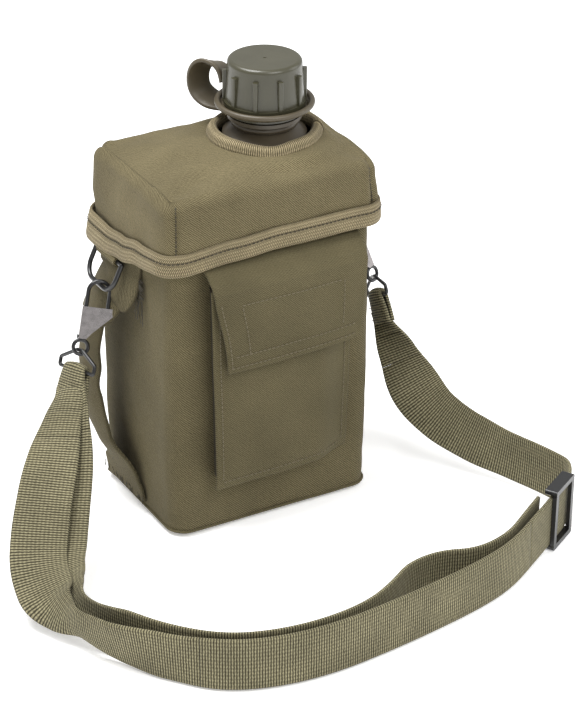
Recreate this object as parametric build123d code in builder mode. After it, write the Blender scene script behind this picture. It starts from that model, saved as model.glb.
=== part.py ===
from build123d import *
from math import cos, radians, sin, tan
import os

# Two-litre canteen in a padded fabric cover, with a front pocket and a shoulder strap.
# Millimetres, +Z up. The origin is on the ground under the middle of the cover,
# the pocket faces -Y and +X is to the right of someone looking at the pocket.

os.makedirs("parts", exist_ok=True)

# ---- driving dimensions ----------------------------------------------------
COVER_WIDTH = 130.0
COVER_DEPTH = 94.0
COVER_TOP = 205.0           # rim of the pouch, hidden inside the lid
CORNER = 15.0               # plan radius of the padded corners
SHELL = 1.6                 # outer fabric with its coating
PADDING = 1.6               # foam and lining
GAP = 0.3                   # running clearance between neighbours

LID_WALL = 3.0
LID_TOP = 219.0
LID_HEM = 175.0             # lower edge of the lid at the front
BINDING_HEIGHT = 14.0
BINDING_THICK = 1.6

BOTTLE_WALL = 1.8
BOTTLE_TOP = 209.0
NECK_X = 19.0               # the neck stands right of the middle
NECK_RADIUS = 17.8
BORE_RADIUS = 15.4
NECK_TOP = 262.2

THREAD_PITCH = 6.0
THREAD_DEPTH = 1.3
CAP_BASE_RADIUS = 22.5
CAP_TOP_RADIUS = 21.2
CAP_BOTTOM = 241.0
CAP_TOP = 267.0
RIB_COUNT = 10
RING_RADIUS = 28.5          # outside of the dished retainer ring

POCKET_WIDTH = 92.0
POCKET_X = 3.0
POCKET_BOTTOM = 30.0
POCKET_TOP = 160.0
POCKET_DEPTH = 12.0
FABRIC = 1.2

WEBBING = 32.0              # width of the shoulder strap
WEBBING_THICK = 2.0
BAND_WIDTH = 26.0           # belt band on each side, gathered where it stands free
BAND_Y = 25.0               # the band stands behind the middle of the side
SEWN_END_WIDTH = 50.0       # its lower end is spread flat and sewn down
SEWN_END_Y = 13.0
WIRE = 2.8

SIDE_X = COVER_WIDTH / 2
FRONT_Y = -COVER_DEPTH / 2


def save(part, name):
    part.label = name
    export_step(part, f"parts/{name}.step")


def save_pair(part, name):
    """Write a left-hand piece and its mirror image on the right."""
    save(part, f"{name}_left")
    save(mirror(part, about=Plane.YZ), f"{name}_right")


# ---- bottle ----------------------------------------------------------------
inset = SHELL + PADDING + 2 * GAP
bottle_width = COVER_WIDTH - 2 * inset
bottle_depth = COVER_DEPTH - 2 * inset
bottle_bottom = SHELL + PADDING + GAP

with BuildPart() as bottle:
    with BuildSketch(Plane.XY.offset(bottle_bottom)):
        RectangleRounded(bottle_width, bottle_depth, CORNER - inset)
    extrude(amount=BOTTLE_TOP - bottle_bottom)
    fillet(bottle.faces().sort_by(Axis.Z)[-1].edges(), 9)
    fillet(bottle.faces().sort_by(Axis.Z)[0].edges(), 5)
    with BuildSketch(Plane.XZ):
        with BuildLine():
            Polyline(
                (NECK_X, BOTTLE_TOP - 6), (NECK_X + 24, BOTTLE_TOP - 6), (NECK_X + 24, 223),
                (NECK_X + 18.6, 226.5), (NECK_X + NECK_RADIUS, 227), (NECK_X + NECK_RADIUS, NECK_TOP),
                (NECK_X, NECK_TOP), close=True,
            )
        make_face()
    revolve(axis=Axis((NECK_X, 0, 0), (0, 0, 1)))
    with Locations((NECK_X, 0, 229.6)):
        Torus(NECK_RADIUS - 0.4, 2.0)
    with BuildSketch(Plane.XY.offset(bottle_bottom + BOTTLE_WALL)):
        RectangleRounded(bottle_width - 2 * BOTTLE_WALL, bottle_depth - 2 * BOTTLE_WALL,
                         CORNER - inset - BOTTLE_WALL)
    extrude(amount=BOTTLE_TOP - bottle_bottom - 2 * BOTTLE_WALL - 4, mode=Mode.SUBTRACT)
    with BuildSketch(Plane.XY.offset(BOTTLE_TOP - 12)):
        with Locations((NECK_X, 0)):
            Circle(BORE_RADIUS)
    extrude(amount=NECK_TOP, mode=Mode.SUBTRACT)
save(bottle.part, "bottle")


def thread(radius, root, z_start, turns, name, outward):
    """One helical ridge of trapezoid section, standing out of or into a wall."""
    helix = Helix(THREAD_PITCH, THREAD_PITCH * turns, radius, center=(NECK_X, 0, z_start))
    tip = THREAD_DEPTH * outward
    with BuildPart() as ridge:
        with BuildSketch(Plane(origin=helix @ 0, x_dir=(1, 0, 0), z_dir=helix % 0)):
            Polygon((root, -1.1), (tip, -0.5), (tip, 0.5), (root, 1.1), align=None)
        sweep(path=helix, is_frenet=True)
    save(ridge.part, name)


thread(NECK_RADIUS, 0.02, 245, 1.25, "bottle_thread", 1)

# ---- cap, liner, retainer ring and tether ------------------------------------
cap_axis = Axis((NECK_X, 0, 0), (0, 0, 1))
cap_bore = NECK_RADIUS + THREAD_DEPTH + 0.6

with BuildPart() as bottle_cap:
    with BuildSketch(Plane.XZ):
        with BuildLine():
            shoulder = Line((NECK_X, CAP_TOP), (NECK_X + CAP_TOP_RADIUS - 2.6, CAP_TOP))
            rim = RadiusArc(shoulder @ 1, (NECK_X + CAP_TOP_RADIUS, CAP_TOP - 2.6), 2.6)
            Polyline(
                rim @ 1, (NECK_X + CAP_BASE_RADIUS, CAP_BOTTOM + 2),
                (NECK_X + CAP_BASE_RADIUS + 1, CAP_BOTTOM + 2),
                (NECK_X + CAP_BASE_RADIUS + 1, CAP_BOTTOM), (NECK_X + 20.7, CAP_BOTTOM),
                (NECK_X + 20.7, 237), (NECK_X + 21.6, 236.6), (NECK_X + 21.6, 235.6),
                (NECK_X + cap_bore, 235.6), (NECK_X + cap_bore, NECK_TOP + 2.4),
                (NECK_X, NECK_TOP + 2.4), (NECK_X, CAP_TOP),
            )
        make_face()
    revolve(axis=cap_axis)
    with BuildSketch(Plane.XY.offset(CAP_BOTTOM + 1)):
        with Locations((NECK_X, 0)):
            with PolarLocations(CAP_BASE_RADIUS - 0.1, RIB_COUNT, start_angle=300):
                RectangleRounded(2.8, 2.8, 0.7)
    extrude(amount=18.5)
    with Locations((NECK_X, 0, CAP_TOP)):
        Cylinder(0.9, 0.5, align=(Align.CENTER, Align.CENTER, Align.CENTER))
save(bottle_cap.part, "bottle_cap")

thread(cap_bore, -0.02, 242, 1.25, "cap_thread", -1)

with BuildPart() as cap_liner:
    with BuildSketch(Plane.XY.offset(NECK_TOP + 0.2)):
        with Locations((NECK_X, 0)):
            Circle(cap_bore - 0.1)
    extrude(amount=2.2)
save(cap_liner.part, "cap_liner")

with BuildPart() as cap_retainer_ring:
    with BuildSketch(Plane.XZ):
        with BuildLine():
            Polyline((NECK_X + 21, 237.6), (NECK_X + 23.5, 237.6), (NECK_X + 27.5, 239.6),
                     (NECK_X + 26.5, 241.4), (NECK_X + 23.8, 239.6), (NECK_X + 21, 239.6), close=True)
        make_face()
    revolve(axis=cap_axis)
    with Locations((NECK_X, 0, 241)):
        Torus(RING_RADIUS - 1.7, 1.7)
save(cap_retainer_ring.part, "cap_retainer_ring")

with BuildPart() as neck_ring:
    with BuildSketch(Plane.XY.offset(232.3)):
        with Locations((NECK_X, 0)):
            Circle(21.2)
            Circle(NECK_RADIUS + 0.2, mode=Mode.SUBTRACT)
    extrude(amount=2.2)
save(neck_ring.part, "neck_ring")

# The tether is a flat strip that leaves the neck ring, loops out past the
# retainer ring and comes back over it, behind the cap.
TETHER_ANGLE = 122.0
tether_out = Vector(cos(radians(TETHER_ANGLE)), sin(radians(TETHER_ANGLE)), 0)
tether_plane = Plane(origin=(NECK_X, 0, 0), x_dir=tether_out,
                     z_dir=(sin(radians(TETHER_ANGLE)), -cos(radians(TETHER_ANGLE)), 0))
with BuildPart() as cap_tether:
    with BuildSketch(tether_plane):
        with BuildLine():
            tether_line = FilletPolyline((21.4, 233.4), (31, 234.5), (41.5, 243), (40.5, 255), (28.5, 256.6),
                                         (24.6, 249), radius=(6, 6.5, 5, 3.2))
        trace(tether_line, line_width=1.8)
    extrude(amount=7, both=True)
save(cap_tether.part, "cap_tether")

# ---- cover: pouch, padding and lid -------------------------------------------
with BuildPart() as cover_body:
    with BuildSketch():
        RectangleRounded(COVER_WIDTH, COVER_DEPTH, CORNER)
    extrude(amount=COVER_TOP)
    fillet(cover_body.faces().sort_by(Axis.Z)[0].edges(), 3)
    with BuildSketch(Plane.XY.offset(SHELL)):
        RectangleRounded(COVER_WIDTH - 2 * SHELL, COVER_DEPTH - 2 * SHELL, CORNER - SHELL)
    extrude(amount=COVER_TOP, mode=Mode.SUBTRACT)
save(cover_body.part, "cover_body")

with BuildPart() as cover_padding:
    with BuildSketch(Plane.XY.offset(SHELL)):
        RectangleRounded(COVER_WIDTH - 2 * SHELL, COVER_DEPTH - 2 * SHELL, CORNER - SHELL)
    extrude(amount=COVER_TOP - SHELL - 1)
    with BuildSketch(Plane.XY.offset(SHELL + PADDING)):
        RectangleRounded(COVER_WIDTH - 2 * (SHELL + PADDING), COVER_DEPTH - 2 * (SHELL + PADDING),
                         CORNER - SHELL - PADDING)
    extrude(amount=COVER_TOP, mode=Mode.SUBTRACT)
save(cover_padding.part, "cover_padding")

lid_inner_width = COVER_WIDTH + 2 * GAP
lid_inner_depth = COVER_DEPTH + 2 * GAP
lid_width = lid_inner_width + 2 * LID_WALL
lid_depth = lid_inner_depth + 2 * LID_WALL
neck_hole = 31.0

with BuildPart() as cover_lid:
    with BuildSketch(Plane.XY.offset(LID_HEM)):
        RectangleRounded(lid_width, lid_depth, CORNER + LID_WALL)
    extrude(amount=LID_TOP - LID_HEM)
    fillet(cover_lid.faces().sort_by(Axis.Z)[-1].edges(), 9)
    with BuildSketch(Plane.XY.offset(LID_HEM)):
        RectangleRounded(lid_inner_width, lid_inner_depth, CORNER + GAP)
    extrude(amount=BOTTLE_TOP + 0.5 - LID_HEM, mode=Mode.SUBTRACT)
    with Locations((NECK_X, 0, LID_TOP)):
        Cylinder(neck_hole, 40, mode=Mode.SUBTRACT)
save(cover_lid.part, "cover_lid")

with BuildPart() as lid_binding:
    with BuildSketch(Plane.XY.offset(LID_HEM - 1)):
        RectangleRounded(lid_width + 2 * BINDING_THICK, lid_depth + 2 * BINDING_THICK,
                         CORNER + LID_WALL + BINDING_THICK)
        RectangleRounded(lid_width, lid_depth, CORNER + LID_WALL, mode=Mode.SUBTRACT)
    extrude(amount=BINDING_HEIGHT)
save(lid_binding.part, "lid_binding")

with BuildPart() as neck_binding:
    with BuildSketch(Plane.XZ):
        with BuildLine():
            Polyline((NECK_X + 25.5, LID_TOP - 2), (NECK_X + neck_hole, LID_TOP - 5),
                     (NECK_X + neck_hole, LID_TOP), (NECK_X + 33.5, LID_TOP), (NECK_X + 30, LID_TOP + 4.5),
                     (NECK_X + 26.5, LID_TOP + 4.5), close=True)
        make_face()
    revolve(axis=cap_axis)
save(neck_binding.part, "neck_binding")

with BuildPart() as rear_hinge_tape:
    with BuildSketch(Plane.XY.offset(LID_HEM - 12)):
        with Locations((0, COVER_DEPTH / 2 + 0.5)):
            Rectangle(90, 1)
    extrude(amount=12 - 1)
save(rear_hinge_tape.part, "rear_hinge_tape")

PIPING = 0.8                 # the bottom seam stands this proud of the walls
PIPING_HEIGHT = 2.0
PIPING_GAP = 0.04

with BuildPart() as base_piping:
    with BuildSketch():
        RectangleRounded(COVER_WIDTH + 2 * PIPING, COVER_DEPTH + 2 * PIPING, CORNER + PIPING)
        RectangleRounded(COVER_WIDTH + PIPING_GAP, COVER_DEPTH + PIPING_GAP, CORNER, mode=Mode.SUBTRACT)
    extrude(amount=PIPING_HEIGHT)
save(Pos(0, 0, 3.2) * base_piping.part, "base_piping")

# ---- front pocket ------------------------------------------------------------
pocket_back = FRONT_Y
pocket_front = FRONT_Y - POCKET_DEPTH
pocket_mid_z = (POCKET_BOTTOM + POCKET_TOP) / 2
pocket_height = POCKET_TOP - POCKET_BOTTOM

with BuildPart() as pocket_panel:
    with BuildSketch(Plane.XZ.offset(-pocket_front - FABRIC)):
        with Locations((POCKET_X, pocket_mid_z)):
            Rectangle(POCKET_WIDTH, pocket_height)
    extrude(amount=FABRIC)
save(pocket_panel.part, "pocket_panel")

with BuildPart() as pocket_gusset:
    with BuildSketch(Plane.XZ.offset(-pocket_back)):
        with Locations((POCKET_X, pocket_mid_z)):
            Rectangle(POCKET_WIDTH, pocket_height)
        with Locations((POCKET_X, pocket_mid_z + FABRIC)):
            Rectangle(POCKET_WIDTH - 2 * FABRIC, pocket_height, mode=Mode.SUBTRACT)
    extrude(amount=POCKET_DEPTH - FABRIC)
save(pocket_gusset.part, "pocket_gusset")

patch_z = 140.0
patch_x = POCKET_X + 4
patch_width = 56.0
patch_height = 20.0
with BuildPart() as pocket_loop_tape:
    with BuildSketch(Plane.XZ.offset(-pocket_front)):
        with Locations((patch_x, patch_z)):
            Rectangle(patch_width, patch_height)
    extrude(amount=0.8)
save(pocket_loop_tape.part, "pocket_loop_tape")

# The flap is sewn to the pouch just under the lid's hem, slopes over the top of the
# pocket and folds down at the pocket's front edge, where it hinges.
flap_back = pocket_front - 2.2
FLAP_THICK = 1.6
FLAP_SEAM_Z = 171.0
FLAP_FOLD_Z = 162.0
FLAP_BOTTOM = 111.0
FLAP_WIDTH = 97.0
flap_left = POCKET_X - 46.0

with BuildPart() as flap_root:
    with BuildSketch(Plane.YZ.offset(flap_left)):
        with BuildLine():
            Polyline((FRONT_Y, FLAP_SEAM_Z), (flap_back + 0.6, FLAP_FOLD_Z),
                     (flap_back - 1.2, FLAP_FOLD_Z + 0.3),
                     (FRONT_Y, FLAP_SEAM_Z + 2), close=True)
        make_face()
    extrude(amount=FLAP_WIDTH)
save(flap_root.part, "flap_root")

with BuildPart() as pocket_flap:
    with BuildSketch(Plane.XZ.offset(-flap_back)):
        with BuildLine():
            Polyline((flap_left, FLAP_FOLD_Z - 0.4), (flap_left + FLAP_WIDTH, FLAP_FOLD_Z - 0.4),
                     (flap_left + FLAP_WIDTH, FLAP_BOTTOM), (flap_left + 6, FLAP_BOTTOM), close=True)
        make_face()
    extrude(amount=FLAP_THICK)
save(pocket_flap.part, "pocket_flap")

with BuildPart() as flap_hook_tape:
    with BuildSketch(Plane.XZ.offset(-flap_back)):
        with Locations((patch_x, patch_z)):
            Rectangle(patch_width, patch_height)
    extrude(amount=-0.8)
save(flap_hook_tape.part, "flap_hook_tape")

# ---- belt bands on the sides ---------------------------------------------------
band_edge = -SIDE_X - 1.0
with BuildPart() as side_band:
    with BuildSketch(Plane.XZ.offset(-BAND_Y)):
        with BuildLine():
            band_line = FilletPolyline((band_edge, 168), (band_edge - 1.2, 152), (-79, 136), (-84.5, 110),
                                       (-84, 66), (-77, 34), (band_edge, 19), (band_edge, 9),
                                       radius=(20, 20, 30, 45, 30, 10))
        trace(band_line, line_width=1.8)
    extrude(amount=BAND_WIDTH / 2, both=True)
    with BuildSketch(Plane.YZ.offset(-SIDE_X)):
        with Locations((SEWN_END_Y, 14.5)):
            Rectangle(SEWN_END_WIDTH, 13)
    extrude(amount=-1.8)
save_pair(side_band.part, "side_band")

# ---- ring tabs, rings and snap hooks --------------------------------------------
# Every left-hand piece here has a mirrored right-hand one; only the strap links
# differ, because the strap pulls each of them its own way.
BAR_DIAMETER = 2.2
RING_LEAN = 25.0
RING_HALF = 16.0
RING_DROP = 18.0
ring_bar = Vector(-72.5, 16.0, 159.0)

ring_up = Vector(sin(radians(RING_LEAN)), 0, cos(radians(RING_LEAN)))
ring_foot = ring_bar - ring_up * RING_DROP

with BuildPart() as ring_tab:
    with BuildSketch(Plane.XZ.offset(-ring_bar.Y)):
        with Locations((ring_bar.X, ring_bar.Z)):
            Circle(WIRE / 2 + 0.25 + 1.3)
        with Locations((ring_bar.X + 3.1, ring_bar.Z + 5)):
            Rectangle(1.8, 12)
        with Locations((ring_bar.X, ring_bar.Z)):
            Circle(WIRE / 2 + 0.25, mode=Mode.SUBTRACT)
    extrude(amount=RING_HALF - 5, both=True)
save_pair(ring_tab.part, "ring_tab")

with BuildPart() as d_ring:
    with BuildLine():
        corners = [(-RING_HALF, 0), (-RING_HALF, -RING_DROP), (RING_HALF, -RING_DROP), (RING_HALF, 0)]
        ring_bow = FilletPolyline(*[ring_bar + Vector(0, 1, 0) * u + ring_up * v for u, v in corners],
                                  radius=(9, 9))
    with BuildSketch(Plane(origin=ring_bow @ 0, z_dir=ring_bow % 0)):
        Circle(WIRE / 2)
    sweep(path=ring_bow.wire())
    with BuildLine():
        bar = Line(ring_bow @ 0, ring_bow @ 1)
    with BuildSketch(Plane(origin=bar @ 0, z_dir=bar % 0)):
        Circle(WIRE / 2)
    sweep(path=bar)
    for end in (ring_bow @ 0, ring_bow @ 1):
        with Locations(end):
            Sphere(WIRE / 2)
save_pair(d_ring.part, "d_ring")

# The hook's own plane: y runs up the hook, x across it, origin where it hangs
# on the ring.
hook_up = Vector(0.30, 0.22, 1.0).normalized()
hook_across = Vector(1, -0.35, 0)
hook_across = (hook_across - hook_up * hook_across.dot(hook_up)).normalized()
hook_plane = Plane(origin=ring_foot - Vector(0, 5, 0), x_dir=hook_across, z_dir=hook_across.cross(hook_up))
LEG_X = -7.2
TIP_X = 5.2
LOOP_TOP = 2.9
LOOP_RADIUS = (TIP_X - LEG_X) / 2
EYE_Y = -36.0
EYE_RADIUS = 4.2
GATE_TOP = -12.0
GATE_PIN_Y = -30.0

with BuildPart() as hook_wire:
    with BuildLine(hook_plane):
        fixed_leg = Line((LEG_X, EYE_Y + EYE_RADIUS), (LEG_X, LOOP_TOP - LOOP_RADIUS))
        ThreePointArc((LEG_X, LOOP_TOP - LOOP_RADIUS), ((LEG_X + TIP_X) / 2, LOOP_TOP),
                      (TIP_X, LOOP_TOP - LOOP_RADIUS))
        Line((TIP_X, LOOP_TOP - LOOP_RADIUS), (TIP_X, GATE_TOP - 3.5))
    with BuildSketch(Plane(origin=fixed_leg @ 0, z_dir=fixed_leg % 0)):
        Circle(BAR_DIAMETER / 2 + 0.1)
    sweep()
    with Locations(hook_plane * Pos(LEG_X, EYE_Y, 0)):
        Torus(EYE_RADIUS, BAR_DIAMETER / 2)
save_pair(hook_wire.part, "hook_wire")

GATE_SHEET = 0.7
gate_outline = [(-9.4, GATE_TOP), (9.2, GATE_TOP), (8.4, -16.5), (-2.0, -27.0),
                (-5.0, -30.8), (-9.4, -30.8)]
with BuildPart() as hook_gate:
    with BuildSketch(hook_plane.offset(-1.6)):
        Polygon(*gate_outline, align=None)
    extrude(amount=1.6 + 1.5 + GATE_SHEET)
    with BuildSketch(hook_plane.offset(-1.6)):
        with BuildLine():
            Polyline((-9.4 + GATE_SHEET, GATE_TOP + 5), (9.2 - GATE_SHEET, GATE_TOP + 5),
                     (9.2 - GATE_SHEET, GATE_TOP), (7.7, -16.3), (-2.6, -26.6), (-5.4, -30.2),
                     (-5.4, -36), (-9.4 + GATE_SHEET, -36), close=True)
        make_face()
    extrude(amount=1.6 + 1.5, mode=Mode.SUBTRACT)
    with BuildSketch(Plane(origin=(hook_plane * Pos(-12, GATE_PIN_Y, 0)).position, z_dir=hook_across)):
        Circle(0.75)
    extrude(amount=3.4, mode=Mode.SUBTRACT)
save_pair(hook_gate.part, "hook_gate")

with BuildPart() as gate_rivet:
    with BuildSketch(Plane(origin=(hook_plane * Pos(-10.2, GATE_PIN_Y, 0)).position, z_dir=hook_across)):
        Circle(0.65)
    extrude(amount=10.2 + LEG_X - 1.3)
    with BuildSketch(Plane(origin=(hook_plane * Pos(-10.2, GATE_PIN_Y, 0)).position, z_dir=hook_across)):
        Circle(1.2)
    extrude(amount=0.6)
save_pair(gate_rivet.part, "gate_rivet")

with BuildPart() as gate_spring:
    with BuildSketch(hook_plane.offset(1.22)):
        with Locations((LEG_X + 1.2, -23)):
            Rectangle(3, 10)
    extrude(amount=0.2)
save_pair(gate_spring.part, "gate_spring")

LINK_HALF = 13.5
LINK_DROP = 11.5
LINK_APEX = EYE_Y - (EYE_RADIUS - BAR_DIAMETER - 0.2)
link_apex_left = (hook_plane * Pos(LEG_X, LINK_APEX, 0)).position


def link_frame(apex, across, up):
    across = across.normalized()
    up = (up - across * up.dot(across)).normalized()
    return Plane(origin=apex, x_dir=across, z_dir=across.cross(up))


link_left = link_frame(link_apex_left, Vector(0.25, -0.93, 0.15), Vector(0.35, 0.25, 0.9))
link_right = link_frame(Vector(-link_apex_left.X, link_apex_left.Y, link_apex_left.Z),
                        Vector(0.10, 0.86, -0.50), Vector(0.0, 0.5, 0.866))

for frame, side in ((link_left, "left"), (link_right, "right")):
    with BuildPart() as strap_link:
        with BuildLine(frame):
            link_line = FilletPolyline((-2.2, 0), (-LINK_HALF - 1.5, -LINK_DROP + 5),
                                       (-LINK_HALF - 1.5, -LINK_DROP), (LINK_HALF + 1.5, -LINK_DROP),
                                       (LINK_HALF + 1.5, -LINK_DROP + 5), (2.2, 0),
                                       radius=1.5, close=True)
        with BuildSketch(Plane(origin=link_line @ 0, z_dir=link_line % 0)):
            Circle(BAR_DIAMETER / 2)
        sweep(path=link_line.wire())
    save(strap_link.part, f"strap_link_{side}")



def world(plane, x, y, z=0.0):
    return (plane * Pos(x, y, z)).position


# ---- shoulder strap ---------------------------------------------------------------
# The webbing is sewn round the right link, turns at the slider, runs along the
# ground on its edge, climbs to the left link, turns back through it and returns
# inside itself to the slider's middle bar.
bar_left = world(link_left, 0, -LINK_DROP)
bar_right = world(link_right, 0, -LINK_DROP)
fold_outer = BAR_DIAMETER / 2 + 0.3 + WEBBING_THICK / 2
SEWN_LENGTH = 17.0

for frame, side, name in ((link_left, -1, "strap_fold_left"), (link_right, 1, "strap_end_right")):
    fold_plane = Plane(origin=world(frame, 0, -LINK_DROP), x_dir=frame.z_dir, z_dir=frame.x_dir * -1)
    with BuildPart() as strap_fold:
        with BuildSketch(fold_plane):
            with BuildLine():
                Line((-fold_outer, -SEWN_LENGTH), (-fold_outer, 0))
                ThreePointArc((-fold_outer, 0), (0, fold_outer), (fold_outer, 0))
                Line((fold_outer, 0), (fold_outer, -SEWN_LENGTH))
            trace(line_width=WEBBING_THICK)
        extrude(amount=LINK_HALF - 0.3, both=True)
    save(strap_fold.part, name)


def arc_radii(points):
    """The largest tangent arc at each corner that its two runs allow."""
    radii = []
    for a, b, c in zip(points, points[1:], points[2:]):
        turn = radians((b - a).get_angle(c - b))
        radii.append(0.45 * min((b - a).length, (c - b).length) / tan(turn / 2))
    return radii


def report(name, part, length):
    share = part.volume / (WEBBING * WEBBING_THICK * length)
    print(name, "length", round(length, 1), "share of section times length", round(share, 3))


def strap_path(points):
    flat = [Vector(*p) for p in points]
    radii = arc_radii(flat)
    print("radii", [round(r, 1) for r in radii])
    return flat, radii


def standing_strap(name, points):
    """A run along the ground with the webbing on its edge."""
    flat, radii = strap_path(points)
    with BuildPart() as run:
        with BuildSketch(Plane.XY.offset(STRAP_LOW)):
            with BuildLine():
                path = FilletPolyline(*flat, radius=radii)
            trace(line_width=WEBBING_THICK)
        extrude(amount=WEBBING)
    report(name, run.part, path.length)
    save(run.part, name)


def hanging_strap(name, points):
    """A run that climbs in one upright plane, with the webbing's width level."""
    climb_plane = Plane(origin=CLIMB_ORIGIN, x_dir=(-0.5, -0.866, 0), z_dir=(-0.866, 0.5, 0))
    flat, radii = strap_path(points)
    with BuildPart() as run:
        with BuildSketch(climb_plane):
            with BuildLine():
                path = FilletPolyline(*flat, radius=radii)
            trace(line_width=WEBBING_THICK)
        extrude(amount=WEBBING / 2, both=True)
    report(name, run.part, path.length)
    save(run.part, name)


STRAP_LOW = 4.2
STRAP_MID = STRAP_LOW + WEBBING / 2
CLIMB_ORIGIN = Vector(-107, 0, 0)

# The right-hand drop: seen from above it swings out, seen from the side it falls.
drop_plan = [(102.4, -8), (102.2, -20), (104.5, -34), (112, -48), (125, -66), (138, -88), (147, -111)]
drop_side = [(-8, 88), (-20, 67), (-34, 48), (-48, 35), (-66, 25.5), (-88, 20.8), (-111, 20.2)]
with BuildPart() as strap_drop:
    plan_points, plan_radii = strap_path(drop_plan)
    with BuildSketch():
        with BuildLine():
            FilletPolyline(*plan_points, radius=plan_radii)
        trace(line_width=WEBBING_THICK)
    extrude(amount=140)
    side_points, side_radii = strap_path(drop_side)
    with BuildSketch(Plane.YZ.offset(80)):
        with BuildLine():
            lower = FilletPolyline(*[p - Vector(0, WEBBING / 2) for p in side_points], radius=side_radii)
            upper = FilletPolyline(*[p + Vector(0, WEBBING / 2) for p in side_points], radius=side_radii)
            Line(lower @ 0, upper @ 0)
            Line(lower @ 1, upper @ 1)
        make_face()
    extrude(amount=100, mode=Mode.INTERSECT)
save(strap_drop.part, "strap_drop")

ground_points = [
    (147, -111), (153, -138), (104, -168), (76, -184), (46, -192.5), (14, -198.2), (-18, -202.6),
    (-50, -205.5), (-82, -202.5), (-110, -192), (-133, -170), (-149, -143), (-158, -117),
]
return_points = [
    (-152.5, -115), (-143.5, -139), (-128.5, -164), (-107, -185.5), (-81, -195.5), (-52, -198.5),
    (-24, -195), (-3, -185), (14, -173.5), (36, -171.5), (55, -180), (78, -176.5), (100, -162.5),
    (112.7, -154.7),
]
standing_strap("shoulder_strap", ground_points)
standing_strap("strap_return", return_points)

# The climbs to the left link: distance out from the link, then height.
hanging_strap("strap_climb_outer", [(12, 84), (28, 66), (46, 48), (63, 33), (80, 22), (100, 20), (121, 20)])
hanging_strap("strap_climb_return", [(4, 79), (21, 60), (38, 42), (55, 28), (74, 18.5), (96, 16), (118, 16)])

# ---- slider -------------------------------------------------------------------------
# A three-bar slider: the strap runs between the two end bars and the set-back
# middle bar, and the return end is sewn round the middle bar.
slider_start = Vector(*ground_points[1], STRAP_MID)
slider_end = Vector(*ground_points[2], STRAP_MID)
slider_mid = (slider_start + slider_end) * 0.5
slider_run = (slider_end - slider_start).normalized()
slider_plane = Plane(origin=slider_mid, x_dir=slider_run, z_dir=Vector(0, 0, 1).cross(slider_run) * -1)
SLIDER_LENGTH = 25.0
SLIDER_BAR = 3.4
SLIDER_RAIL = 3.2
slot_half = WEBBING / 2 + 0.5
bar_clear = WEBBING_THICK / 2 + 0.4

with BuildPart() as slider:
    with BuildSketch(slider_plane.offset(-bar_clear - 2.4)):
        with Locations((0, slot_half + SLIDER_RAIL / 2), (0, -slot_half - SLIDER_RAIL / 2)):
            RectangleRounded(SLIDER_LENGTH, SLIDER_RAIL, 1.2)
    extrude(amount=2 * (bar_clear + 2.4))
    with BuildSketch(slider_plane.offset(-bar_clear - 2.4)):
        with Locations((SLIDER_LENGTH / 2 - SLIDER_BAR / 2, 0), (-SLIDER_LENGTH / 2 + SLIDER_BAR / 2, 0)):
            Rectangle(SLIDER_BAR, 2 * slot_half + 0.2)
    extrude(amount=2.4)
    with BuildSketch(slider_plane.offset(bar_clear)):
        Rectangle(SLIDER_BAR, 2 * slot_half + 0.2)
    extrude(amount=2.4)
save(slider.part, "slider")
print("bars", bar_left, bar_right, "slider", slider_mid, slider_run, slider_plane.z_dir)
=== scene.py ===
"""Looks of the two-litre canteen in its padded fabric cover, in metres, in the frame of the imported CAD."""

import math
import random

import bmesh
import bpy
from mathutils import Matrix, Vector, noise


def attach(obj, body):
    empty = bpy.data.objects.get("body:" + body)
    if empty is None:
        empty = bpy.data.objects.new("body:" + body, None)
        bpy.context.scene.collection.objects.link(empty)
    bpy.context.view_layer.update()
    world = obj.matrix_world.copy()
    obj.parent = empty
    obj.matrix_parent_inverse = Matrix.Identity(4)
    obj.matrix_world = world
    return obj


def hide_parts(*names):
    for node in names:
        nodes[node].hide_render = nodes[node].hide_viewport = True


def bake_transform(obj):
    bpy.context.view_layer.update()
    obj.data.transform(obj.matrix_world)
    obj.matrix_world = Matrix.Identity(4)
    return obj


MM = 0.001
TAU = 2 * math.pi
UP, FORWARD = Vector((0, 0, 1)), Vector((0, -1, 0))

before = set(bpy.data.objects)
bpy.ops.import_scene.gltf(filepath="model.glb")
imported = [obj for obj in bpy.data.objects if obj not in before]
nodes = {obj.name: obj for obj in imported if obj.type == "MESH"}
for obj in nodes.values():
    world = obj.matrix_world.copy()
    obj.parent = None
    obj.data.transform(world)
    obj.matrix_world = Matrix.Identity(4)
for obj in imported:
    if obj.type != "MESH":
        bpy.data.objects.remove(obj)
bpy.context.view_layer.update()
scene = bpy.context.scene

# ---- camera ------------------------------------------------------------------
AIM = Vector((38.21, 0, 66.71)) * MM
DISTANCE = 1553.9 * MM
AZIMUTH, ELEVATION, ROLL = math.radians(-29.688), math.radians(28.812), math.radians(0.504)
LENS, SENSOR = 128.5714, 36.0  # both in millimetres; the sensor's longer side is the picture's height

away = Vector((math.sin(AZIMUTH) * math.cos(ELEVATION),
               -math.cos(AZIMUTH) * math.cos(ELEVATION), math.sin(ELEVATION)))
camera = bpy.data.objects.new("camera", bpy.data.cameras.new("camera"))
camera.data.sensor_width = SENSOR
camera.data.lens = LENS
camera.matrix_world = (Matrix.Translation(AIM + away * DISTANCE)
                       @ (-away).to_track_quat("-Z", "Y").to_matrix().to_4x4()
                       @ Matrix.Rotation(ROLL, 4, "Z"))
scene.collection.objects.link(camera)
scene.camera = camera


# ---- materials ---------------------------------------------------------------
def linear(r, g, b):
    """A colour given in display values, 0 to 255, as the shader wants it."""
    def one(c):
        c /= 255
        return c / 12.92 if c <= 0.04045 else ((c + 0.055) / 1.055) ** 2.4
    return (one(r), one(g), one(b), 1.0)


MATT_FROM = 0.75  # rougher than this is cloth or fuzz, with hardly any mirror reflection
MATT_SPECULAR, USUAL_SPECULAR = 0.12, 0.5


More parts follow.
